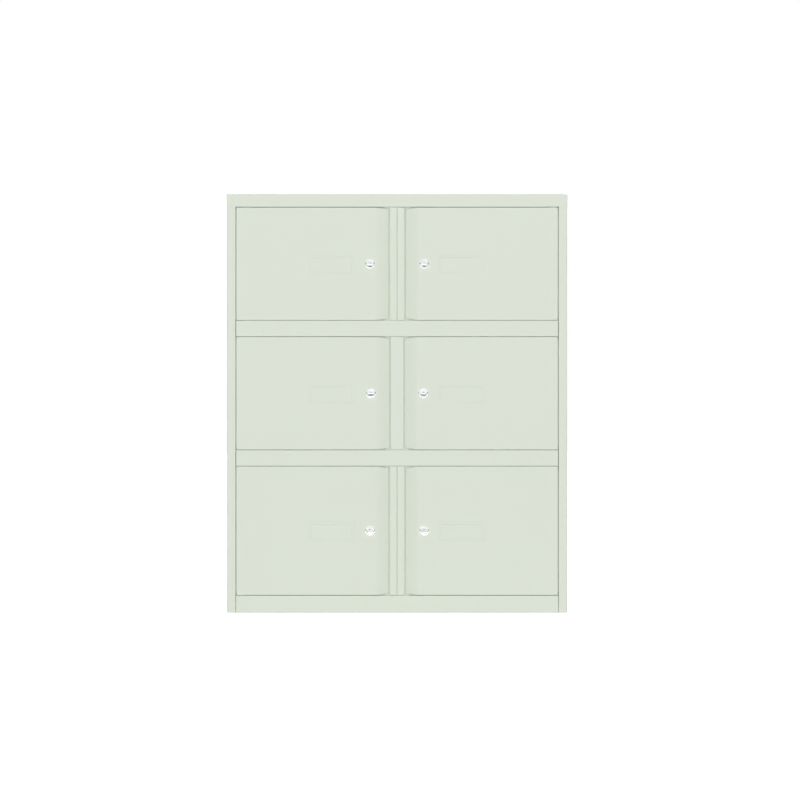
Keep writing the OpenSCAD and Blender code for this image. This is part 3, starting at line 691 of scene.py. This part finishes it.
def weld_mark_tree():
    """Weld marks along rows: a low rim at each step of a row, flat on the sheet that faces the way of
    the row's facing attribute."""
    tree, maker, wires = geometry_tree("weld_marks", {
        "Spacing": "NodeSocketFloat",
        "Radius": "NodeSocketFloat",
        "Height": "NodeSocketFloat",
        "Seed": "NodeSocketInt",
        "Material": "NodeSocketMaterial",
    })
    rows = maker.node("GeometryNodeMeshToCurve", None, {"Mesh": wires["Geometry"]})
    steps = maker.node("GeometryNodeResampleCurve", {"mode": "LENGTH"}, {
        "Curve": rows, "Length": wires["Spacing"],
    })
    rim = maker.node("GeometryNodeCurvePrimitiveCircle", {"mode": "RADIUS"}, {
        "Resolution": 14, "Radius": wires["Radius"] * 0.72,
    })
    tube = maker.node("GeometryNodeCurvePrimitiveCircle", {"mode": "RADIUS"}, {
        "Resolution": 6, "Radius": wires["Radius"] * 0.28,
    })
    ring = maker.node("GeometryNodeCurveToMesh", None, {"Curve": rim, "Profile Curve": tube})
    flat = maker.node("ShaderNodeCombineXYZ", None, {
        "X": 1.0, "Y": 1.0, "Z": wires["Height"] / (wires["Radius"] * 0.28),
    })
    mark = maker.node("GeometryNodeTransform", None, {"Geometry": ring, "Scale": flat})
    facing = maker.node(
        "GeometryNodeInputNamedAttribute", {"data_type": "FLOAT_VECTOR"}, {"Name": "facing"},
    )
    turn = maker.node("FunctionNodeAlignRotationToVector", {"axis": "Z"}, {"Vector": facing})
    size = maker.node(
        "FunctionNodeRandomValue", {"data_type": "FLOAT"},
        {2: 0.88, 3: 1.12, "Seed": wires["Seed"]}, output=1,
    )
    placed = maker.node("GeometryNodeInstanceOnPoints", None, {
        "Points": steps, "Instance": mark, "Rotation": turn, "Scale": size,
    })
    close_tree(maker, placed, wires["Material"])
    return tree


def grown(tree, points, lines, inputs, facing=None):
    """Run a geometry tree on points and the lines between them, and give the plain result."""
    mesh = bpy.data.meshes.new("start")
    mesh.from_pydata(points, lines, [])
    if facing:
        layer = mesh.attributes.new("facing", "FLOAT_VECTOR", "POINT")
        for item, value in zip(layer.data, facing):
            item.vector = value
    carrier = as_object("growing", mesh)
    modifier = carrier.modifiers.new("grow", "NODES")
    modifier.node_group = tree
    for item in tree.interface.items_tree:
        if item.in_out == "INPUT" and item.name in inputs:
            modifier[item.identifier] = inputs[item.name]
    plain = applied(carrier)
    bpy.data.meshes.remove(mesh)
    made = opened(plain)
    if not made.faces:
        raise RuntimeError(f"the tree {tree.name} made no faces")
    bmesh.ops.remove_doubles(made, verts=made.verts, dist=MERGE_BELOW)
    outward(made)
    return made


# Pieces

class LOCKER_OT_carcass_sheets(Operator):
    """Make the sheets of the carcass: sides, back, cap, base, shelves, partitions and door stops"""

    bl_idname = "locker.carcass_sheets"
    bl_label = "Carcass sheets"

    @staticmethod
    def lengthen_stops(made, reach):
        """Draw the inner ends of the angle strips out, so that they lie behind the pulls' ends too."""
        nearest, farthest = 34 * MM, 42 * MM
        ends = [vert for vert in made.verts if nearest < abs(vert.co.x) < farthest]
        if not ends:
            raise RuntimeError("the angle strips have no inner ends")
        for vert in ends:
            vert.co.x -= math.copysign(reach, vert.co.x)

    def execute(self, context):
        sheet = context.scene.locker_sheet
        for node in SHEET_NODES:
            made = cad_mesh(node)
            if node == "door_stops":
                self.lengthen_stops(made, sheet.stop_reach)
            round_edges(made, sheet.cut_edge)
            finished(f"{node}_sheet", made, powder_coat(), "carcass", [node])
        return {"FINISHED"}


class LOCKER_OT_channels(Operator):
    """Fold the rails, the plinth and the middle post from straight lines"""

    bl_idname = "locker.channels"
    bl_label = "Rails, plinth and middle post"

    plinth_flange = 22 * MM
    bend_steps = 6
    box_tolerance = 0.1 * MM

    def fold(self, node, line, run, bend):
        """Fold one channel along its line, and make sure that it fills its node's box."""
        sheet = bpy.context.scene.locker_sheet
        tree = bpy.data.node_groups.get("folded_sheet") or folded_sheet_tree()
        lines = [(i, i + 1) for i in range(len(line) - 1)]
        made = grown(tree, line, lines, {
            "Bend radius": bend, "Bend steps": self.bend_steps, "Run": run,
            "Thickness": sheet.thickness, "Material": powder_coat(),
        })
        box = [[side(v.co[i] for v in made.verts) for i in range(3)] for side in (min, max)]
        for corner, meant in zip(box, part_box(node)):
            if (Vector(corner) - meant).length > self.box_tolerance:
                raise RuntimeError(f"{node} is folded the wrong way: {box} is not {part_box(node)}")
        round_edges(made, sheet.cut_edge)
        finished(f"{node}_channel", made, powder_coat(), "carcass", [node])

    def execute(self, context):
        sheet = context.scene.locker_sheet
        for node in ("upper_rail", "lower_rail", "plinth"):
            low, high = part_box(node)
            foot = low.y + self.plinth_flange if node == "plinth" else high.y
            line = [(low.x, foot, low.z), (low.x, low.y, low.z),
                    (low.x, low.y, high.z), (low.x, high.y, high.z)]
            self.fold(node, line, (high.x - low.x, 0, 0), sheet.bend_radius)
        low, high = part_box("middle_post")
        line = [(high.x, high.y, low.z), (high.x, low.y, low.z),
                (low.x, low.y, low.z), (low.x, high.y, low.z)]
        self.fold("middle_post", line, (0, 0, high.z - low.z), sheet.post_bend_radius)
        return {"FINISHED"}


class LOCKER_OT_doors(Operator):
    """Make the six doors with their finger pulls"""

    bl_idname = "locker.doors"
    bl_label = "Doors"

    @staticmethod
    def fold_finder(low, high):
        """Tells the folds along the top and the foot of the door in this box from its other edges."""
        outer_x = max(low.x, high.x, key=abs)
        outer_way = math.copysign(1, outer_x)
        reach, upright_below, facing_above = 2.2 * MM, 0.1, 0.01

        def folded(edge):
            ends = [vert.co for vert in edge.verts]
            level = all(min(abs(p.z - low.z), abs(p.z - high.z)) < TOUCH for p in ends)
            outside = all(p.y - low.y < reach or abs(p.x - outer_x) < reach for p in ends)
            upright = [face.normal for face in edge.link_faces if abs(face.normal.z) < upright_below]
            return level and outside and len(upright) == 1 and (
                upright[0].y < -facing_above or upright[0].x * outer_way > facing_above
            )

        return folded

    def execute(self, context):
        sheet = context.scene.locker_sheet
        for door in DOORS:
            node = f"{door}_door"
            made = cad_mesh(node)
            round_edges(made, sheet.fold_edge, steps=3, choose=self.fold_finder(*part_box(node)))
            round_edges(made, sheet.cut_edge)
            finished(f"{node}_sheet", made, powder_coat(), node, [node])
        return {"FINISHED"}


class LOCKER_OT_label_holders(Operator):
    """Make the moulded label holders"""

    bl_idname = "locker.label_holders"
    bl_label = "Label holders"

    def execute(self, context):
        for door in DOORS:
            node = f"{door}_label_holder"
            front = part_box(node)[0].y

            def on_face(edge):
                return all(abs(vert.co.y - front) < TOUCH for vert in edge.verts)

            made = cad_mesh(node)
            round_edges(made, width=0.6 * MM, steps=3, choose=on_face)
            round_edges(made, width=0.1 * MM, steps=1)
            finished(f"{node}_frame", made, moulded_holder(), f"{door}_door", [node])
        return {"FINISHED"}


def lock_axis(door):
    """The point on a lock's axis that lies as far ahead as its crest."""
    low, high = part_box(f"{door}_lock_body")
    return Vector(((low.x + high.x) / 2, low.y, (low.z + high.z) / 2))


def add_thread(made, axis_start, crest, length, pitch, turn, material):
    """Wind a thread onto a piece in the making. Its ridge is 0.3 of the pitch high."""
    tree = bpy.data.node_groups.get("screw_thread") or thread_tree()
    ridge = grown(tree, [axis_start], [], {
        "Crest radius": crest, "Depth": 0.3 * pitch, "Pitch": pitch, "Length": length,
        "Turn": turn, "Steps": 40, "Material": material,
    })
    mesh = as_mesh("ridge", ridge)
    made.from_mesh(mesh)
    bpy.data.meshes.remove(mesh)


class LOCKER_OT_lock_bodies(Operator):
    """Make the lock bodies: domed ring, threaded barrel and nut"""

    bl_idname = "locker.lock_bodies"
    bl_label = "Lock bodies"

    @staticmethod
    def nut(made, centre, flats, depth, steps):
        """Hexagon nut with turned corners, drawn as a lathe whose radius follows the flats."""
        bore_r, chamfer = 8.05 * MM, 0.9 * MM
        turned_r = flats / 2 * 1.01

        def hexagon(angle):
            return flats / 2 / math.cos(angle % (math.pi / 3) - math.pi / 6)

        def turned(angle):
            return min(hexagon(angle), turned_r)

        def bore(angle):
            return bore_r

        rings = []
        for far, radius_at in ((0, turned), (chamfer, hexagon), (depth - chamfer, hexagon),
                               (depth, turned), (depth, bore), (0, bore)):
            ring = []
            for i in range(steps):
                angle = 2 * math.pi * i / steps
                side, up = radius_at(angle) * math.cos(angle), radius_at(angle) * math.sin(angle)
                ring.append(made.verts.new(centre + Vector((side, far, up))))
            rings.append(ring)
        faces = [
            made.faces.new([first[i], first[(i + 1) % steps], second[(i + 1) % steps], second[i]])
            for first, second in zip(rings, rings[1:] + rings[:1]) for i in range(steps)
        ]
        outward(made, faces)

    def execute(self, context):
        lock = context.scene.locker_lock
        low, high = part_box(f"{DOORS[0]}_lock_body")
        back = (high.y - low.y) / MM
        bore_r, recess_r, recess_depth, lip_r = 5.66, 7.5, 1.7, 0.9
        flange_r, flange_t, dome, rim = 12, 3, (3.3, 2.6), 0.15
        crest_r, root_r, end_chamfer = 8, 7.55, 0.3
        nut_flats, nut_depth = 22 * MM, 4 * MM
        nut_start, thread_start = Vector((0, 4 * MM, 0)), Vector((0, 4.3 * MM, 0))
        thread_length = (back - 5) * MM
        profile = [(bore_r, back), (bore_r, recess_depth), (recess_r, recess_depth)]
        profile += arc((recess_r + lip_r, lip_r), lip_r, 180, 270, 8)
        profile += arc((flange_r - dome[0], dome[1]), dome, 276, 360, 14)
        profile += [(flange_r, flange_t - rim), (flange_r - rim, flange_t), (root_r, flange_t),
                    (root_r, back - end_chamfer), (root_r - end_chamfer, back)]
        profile = [(radius * MM, far * MM) for radius, far in profile]
        for door in DOORS:
            axis = lock_axis(door)
            made = bmesh.new()
            lathe(made, profile, axis, steps=lock.steps)
            self.nut(made, axis + nut_start, nut_flats, nut_depth, lock.steps)
            add_thread(
                made, axis + thread_start, crest_r * MM, thread_length, lock.thread_pitch,
                (-math.pi / 2, 0, 0), bright_plating(),
            )
            finished(f"{door}_lock_ring", made, bright_plating(), f"{door}_door",
                     [f"{door}_lock_body"])
        return {"FINISHED"}


class LOCKER_OT_lock_plugs(Operator):
    """Make the lock plugs: domed face, keyway with its wafers, barrel and square drive"""

    bl_idname = "locker.lock_plugs"
    bl_label = "Lock plugs"

    def execute(self, context):
        lock = context.scene.locker_lock
        face_r, face_t, face_drop, crown, rim_r = 7.4, 1.6, 0.1, 0.5, 0.25
        barrel_r, end_chamfer = 5.6, 0.3
        drive, drive_len = 3.5, 2.5
        keyway = Vector((4 * MM, 0, 0.9 * MM))
        keyway_start, keyway_end = Vector((0, -2 * MM, 0)), Vector((0, 14 * MM, 0))
        wafers, first_wafer, wafer_pitch, wafer_t = 4, 3.6 * MM, 2.6 * MM, 1 * MM
        wafer_half, wafer_inner, wafer_outer = 1.1 * MM, 3.5 * MM, 4.4 * MM
        ball = (face_r * face_r + crown * crown) / (2 * crown)
        edge = face_r - rim_r
        dome = [(edge * i / 10, face_drop + ball - math.sqrt(ball * ball - (edge * i / 10) ** 2))
                for i in range(11)]
        rim = arc((edge, dome[-1][1] + rim_r), rim_r, 270, 360, 4)[1:]
        back = (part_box(f"{DOORS[0]}_lock_plug")[1].y - lock_axis(DOORS[0]).y) / MM
        barrel = back - drive_len
        profile = dome + rim + [
            (face_r, face_t), (barrel_r, face_t), (barrel_r, barrel - end_chamfer),
            (barrel_r - end_chamfer, barrel), (0, barrel),
        ]
        profile = [(radius * MM, far * MM) for radius, far in profile]
        for door in DOORS:
            node = f"{door}_lock_plug"
            axis = lock_axis(door)
            made = bmesh.new()
            lathe(made, profile, axis, steps=lock.steps)
            made = cut_out(made, axis - keyway + keyway_start, axis + keyway + keyway_end)
            for i in range(wafers):
                depth = first_wafer + wafer_pitch * i
                for end in (-1, 1):
                    inner, outer = sorted((end * wafer_inner, end * wafer_outer))
                    block(made, axis + Vector((inner, depth, -wafer_half)),
                          axis + Vector((outer, depth + wafer_t, wafer_half)))
            block(made, axis + Vector((-drive, barrel - 1, -drive)) * MM,
                  axis + Vector((drive, back, drive)) * MM)
            finished(f"{door}_lock_plug_face", made, bright_plating(), f"{door}_lock",
                     [node])
        return {"FINISHED"}


class LOCKER_OT_lock_cams(Operator):
    """Make the cams and their screws"""

    bl_idname = "locker.lock_cams"
    bl_label = "Lock cams"

    def execute(self, context):
        for door in DOORS:
            node = f"{door}_lock_cam"
            made = cad_mesh(node)
            round_edges(made, width=0.3 * MM)
            finished(f"{node}_plate", made, zinc_plating(), f"{door}_lock", [node])
        return {"FINISHED"}


class LOCKER_OT_hinges(Operator):
    """Make the hinge pins of the carcass and the bushes of the doors"""

    bl_idname = "locker.hinges"
    bl_label = "Hinge pins and bushes"

    def execute(self, context):
        made = cad_mesh("hinge_pins")
        round_edges(made, width=0.25 * MM)
        finished("hinge_pin_set", made, zinc_plating(), "carcass", ["hinge_pins"])
        for door in DOORS:
            node = f"{door}_hinge_bushes"
            made = cad_mesh(node)
            round_edges(made, width=0.15 * MM)
            finished(f"{node}_pair", made, bush_nylon(), f"{door}_door", [node])
        return {"FINISHED"}


class LOCKER_OT_buffers(Operator):
    """Make the rubber buffers that stop the doors"""

    bl_idname = "locker.buffers"
    bl_label = "Door buffers"

    def execute(self, context):
        made = cad_mesh("door_buffers")
        margin = context.scene.locker_sheet.buffer_margin
        doors = [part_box(f"{row}_left_door") for row in ROWS]
        for vert in made.verts:
            low, high = min(doors, key=lambda box: abs(box[0].z + box[1].z - 2 * vert.co.z))
            vert.co.z = min(max(vert.co.z, low.z + margin), high.z - margin)
        round_edges(made, width=1.1 * MM, steps=3)
        finished("door_buffer_set", made, buffer_rubber(), "carcass", ["door_buffers"])
        return {"FINISHED"}


class LOCKER_OT_feet(Operator):
    """Make the levelling feet and the brackets that carry them"""

    bl_idname = "locker.feet"
    bl_label = "Levelling feet"

    def execute(self, context):
        pad_r, pad_t, tread_r, hub_r, foot_round, top_round = 16, 6, 14.6, 9, 1.2, 1.8
        nut_r, nut_foot, nut_top, nut_drop, nut_bevel = 8, 1, 10, 0.7, 0.5
        stud_r, stud_foot, stud_top, tip_drop, tip_bevel = 4.5, 3, 34, 1, 0.9
        pad = [(0, 0), (tread_r, 0)]
        pad += arc((pad_r - foot_round, foot_round), foot_round, 270, 360, 5)[1:]
        pad += arc((pad_r - top_round, pad_t - top_round), top_round, 0, 90, 6)
        pad += [(hub_r, pad_t), (0, pad_t)]
        hexagon = [(0, nut_foot), (nut_r, nut_foot), (nut_r, nut_top - nut_drop),
                   (nut_r - nut_bevel, nut_top), (0, nut_top)]
        stud = [(0, stud_foot), (stud_r, stud_foot), (stud_r, stud_top - tip_drop),
                (stud_r - tip_bevel, stud_top), (0, stud_top)]
        slot = Vector((6, 0.8, 0)) * MM
        slot_foot, slot_top = Vector((0, 0, 32 * MM)), Vector((0, 0, 36 * MM))
        thread_foot, crest_r, thread_length, pitch = Vector((0, 0, 10.2 * MM)), 5 * MM, 21 * MM, 1.5 * MM
        for foot in FEET:
            low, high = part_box(foot)
            axis = Vector(((low.x + high.x) / 2, (low.y + high.y) / 2, low.z))
            made = bmesh.new()
            lathe(made, [(r * MM, z * MM) for r, z in pad], axis, "Z", 64)
            lathe(made, [(r * MM, z * MM) for r, z in hexagon], axis, "Z", 6)
            finished(f"{foot}_pad", made, foot_plastic(), foot, [foot])
            made = bmesh.new()
            lathe(made, [(r * MM, z * MM) for r, z in stud], axis, "Z", 48)
            made = cut_out(made, axis - slot + slot_foot, axis + slot + slot_top)
            add_thread(made, axis + thread_foot, crest_r, thread_length, pitch, (0, 0, 0), zinc_plating())
            finished(f"{foot}_stud", made, zinc_plating(), foot, [foot])
        made = cad_mesh("foot_brackets")
        round_edges(made, width=0.4 * MM)
        finished("foot_bracket_set", made, zinc_plating(), "carcass", ["foot_brackets"])
        return {"FINISHED"}


class LOCKER_OT_weld_marks(Operator):
    """Grow the rows of weld marks on the back and the sides"""

    bl_idname = "locker.weld_marks"
    bl_label = "Weld marks"

    def execute(self, context):
        welds = context.scene.locker_welds
        flange_aside, flange_foot, flange_top = 10 * MM, 60 * MM, 45 * MM
        shelf_drop, half_width = 9 * MM, 360 * MM
        side_start, side_end = FRONT_Y + 60 * MM, FRONT_Y + 430 * MM
        back_flange_y = FRONT_Y + 469 * MM
        back_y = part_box("back_panel")[1].y
        side_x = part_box("right_side")[1].x
        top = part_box("top_cap")[1].z - flange_top
        rows = []
        for sign in (-1, 1):
            x = sign * (side_x - flange_aside)
            rows.append(((x, back_flange_y, flange_foot), (x, back_flange_y, top), (0, 1, 0)))
        for node in ("base_pan", "lower_shelf", "upper_shelf"):
            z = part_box(node)[1].z - shelf_drop
            rows.append(((-half_width, back_y, z), (half_width, back_y, z), (0, 1, 0)))
            for sign in (-1, 1):
                x = sign * side_x
                rows.append(((x, side_start, z), (x, side_end, z), (sign, 0, 0)))
        points = [point for start, end, _ in rows for point in (start, end)]
        facing = [way for _, _, way in rows for _ in range(2)]
        lines = [(2 * i, 2 * i + 1) for i in range(len(rows))]
        made = grown(weld_mark_tree(), points, lines, {
            "Spacing": welds.spacing, "Radius": welds.radius, "Height": welds.height,
            "Seed": welds.seed, "Material": powder_coat(),
        }, facing)
        finished("weld_marks", made, powder_coat(), "carcass", [])
        return {"FINISHED"}


# Studio

def floor_material():
    """Pale floor. The camera sees it lifted to the white of the background, and the object's shadow
    stays on it. Bright metal sees a dark band across it, some metres ahead of the doors."""
    band_start, band_end = (2.3, 2.9), (5.0, 6.8)
    made = bpy.data.materials.new("studio_floor")
    made.use_nodes = True
    maker = NodeMaker(made.node_tree)
    place = maker.node("ShaderNodeTexCoord", output="Object")
    ahead = maker.node("ShaderNodeSeparateXYZ", None, {"Vector": place}, output="Y") * -1
    band = maker.ramp(ahead, *band_start) * (1 - maker.ramp(ahead, *band_end))
    glossy = maker.node("ShaderNodeLightPath", output="Is Glossy Ray")
    seen = maker.node("ShaderNodeLightPath", output="Is Camera Ray")
    seen = seen + glossy + maker.node("ShaderNodeLightPath", output="Is Transmission Ray")
    matt = maker.node("ShaderNodeBsdfDiffuse", None, {"Color": (0.5, 0.5, 0.5, 1)})
    lift = maker.node("ShaderNodeEmission", None, {"Color": (1, 1, 1, 1), "Strength": seen * 0.9})
    pale = maker.node("ShaderNodeAddShader", None, {0: matt, 1: lift})
    dark = maker.node("ShaderNodeBsdfDiffuse", None, {"Color": (0.08, 0.08, 0.08, 1)})
    both = maker.node("ShaderNodeMixShader", None, {0: glossy * band, 1: pale, 2: dark})
    maker.node("ShaderNodeOutputMaterial", None, {"Surface": both})
    return made


def light_world(stage):
    """White light from all round, strong from straight ahead and from behind, and weak between them.
    The camera sees plain white. Bright metal sees white with the dim sides of the studio over the
    floor and a grey patch straight ahead. A pair of numbers is where a ramp starts and ends, as a
    share of the way aside, up or ahead."""
    sides_from, sides_over = (0.3, 0.55), (0.12, 0.35)
    patch_aside, patch_foot, patch_top = (0.06, 0.2), (0.01, 0.04), (0.09, 0.15)
    behind_to, front_from = (-0.1, 0.15), (0.45, 0.9)
    behind, between, front = 1.5, 0.2, 1.67
    sides_dimmed, patch_dimmed = 0.85, 0.55
    world = bpy.data.worlds.new("studio")
    world.use_nodes = True
    bpy.context.scene.world = world
    maker = NodeMaker(world.node_tree)
    way = maker.node("ShaderNodeTexCoord", output="Generated")
    aside = maker.node("ShaderNodeSeparateXYZ", None, {"Vector": way}, output="X")
    aside = maker.node("ShaderNodeMath", {"operation": "ABSOLUTE"}, {0: aside})
    height = maker.node("ShaderNodeSeparateXYZ", None, {"Vector": way}, output="Z")
    dim = maker.ramp(aside, *sides_from) * (1 - maker.ramp(height, *sides_over))
    inner = 1 - maker.ramp(aside, *patch_aside)
    dusk = inner * maker.ramp(height, *patch_foot) * (1 - maker.ramp(height, *patch_top))
    ahead = maker.node("ShaderNodeSeparateXYZ", None, {"Vector": way}, output="Y") * -1
    even = behind - maker.ramp(ahead, *behind_to) * (behind - between)
    even = even + maker.ramp(ahead, *front_from) * (front - between)
    camera = maker.node("ShaderNodeLightPath", output="Is Camera Ray")
    glossy = maker.node("ShaderNodeLightPath", output="Is Glossy Ray")
    glass = maker.node("ShaderNodeLightPath", output="Is Transmission Ray")
    plain = camera + glass
    shown = 1 - dim * sides_dimmed - dusk * patch_dimmed
    strength = plain + (1 - plain) * (glossy * shown + (1 - glossy) * even * stage.fill)
    light = maker.node("ShaderNodeBackground", None, {"Color": (1, 1, 1, 1), "Strength": strength})
    maker.node("ShaderNodeOutputWorld", None, {"Surface": light})


def soft_lamp(name, place, aim, width, power):
    """Square area lamp that looks at a point and leaves no highlight."""
    light = bpy.data.lights.new(name, "AREA")
    light.shape = "SQUARE"
    light.size = width
    light.energy = power
    lamp = as_object(name, light)
    lamp.location = place
    lamp.rotation_euler = (Vector(aim) - Vector(place)).to_track_quat("-Z", "Y").to_euler()
    lamp.visible_glossy = False


class LOCKER_OT_studio(Operator):
    """Set up the floor, the light and the camera"""

    bl_idname = "locker.studio"
    bl_label = "Studio"

    def execute(self, context):
        stage = context.scene.locker_stage
        floor_r = 60
        key_place, key_width, front_width = (0, -3.4, 3.4), 2.4, 0.5
        middle = (0, FRONT_Y, 0.5)
        place = Vector(stage.aim) - Vector((0, stage.distance, 0))
        behind = Vector((0, -0.3, 0))
        made = bmesh.new()
        bmesh.ops.create_circle(made, cap_ends=True, radius=floor_r, segments=96)
        mesh = as_mesh("studio_floor", made)
        mesh.materials.append(floor_material())
        as_object("studio_floor", mesh)
        light_world(stage)
        soft_lamp("key", key_place, middle, key_width, stage.key)
        soft_lamp("front", place + behind, middle, front_width, stage.front)
        camera = as_object("camera", bpy.data.cameras.new("camera"))
        camera.data.lens = stage.lens
        camera.data.sensor_width = 36
        camera.location = place
        camera.rotation_euler = (math.pi / 2, 0, 0)
        context.scene.camera = camera
        context.scene.view_settings.view_transform = "Standard"
        return {"FINISHED"}


STEPS = (
    LOCKER_OT_carcass_sheets, LOCKER_OT_channels, LOCKER_OT_doors, LOCKER_OT_label_holders,
    LOCKER_OT_lock_bodies, LOCKER_OT_lock_plugs, LOCKER_OT_lock_cams, LOCKER_OT_hinges,
    LOCKER_OT_buffers, LOCKER_OT_feet, LOCKER_OT_weld_marks, LOCKER_OT_studio,
)


class LOCKER_PT_sidebar(Panel):
    """Sizes, colours and steps of the locker"""

    bl_idname = "LOCKER_PT_sidebar"
    bl_label = "Office Locker"
    bl_space_type = "VIEW_3D"
    bl_region_type = "UI"
    bl_category = "Locker"

    def draw(self, context):
        for name, group in GROUPS.items():
            box = self.layout.box()
            settings = getattr(context.scene, name)
            for prop in group.__annotations__:
                box.prop(settings, prop)
        column = self.layout.column(align=True)
        for step in STEPS:
            column.operator(step.bl_idname)


CLASSES = tuple(GROUPS.values()) + STEPS + (LOCKER_PT_sidebar,)


def register():
    for cls in CLASSES:
        bpy.utils.register_class(cls)
    for name, group in GROUPS.items():
        setattr(bpy.types.Scene, name, PointerProperty(type=group))


def unregister():
    for name in GROUPS:
        delattr(bpy.types.Scene, name)
    for cls in reversed(CLASSES):
        bpy.utils.unregister_class(cls)


def main():
    register()
    for step in STEPS:
        module, name = step.bl_idname.split(".")
        getattr(getattr(bpy.ops, module), name)()


if __name__ == "__main__":
    main()
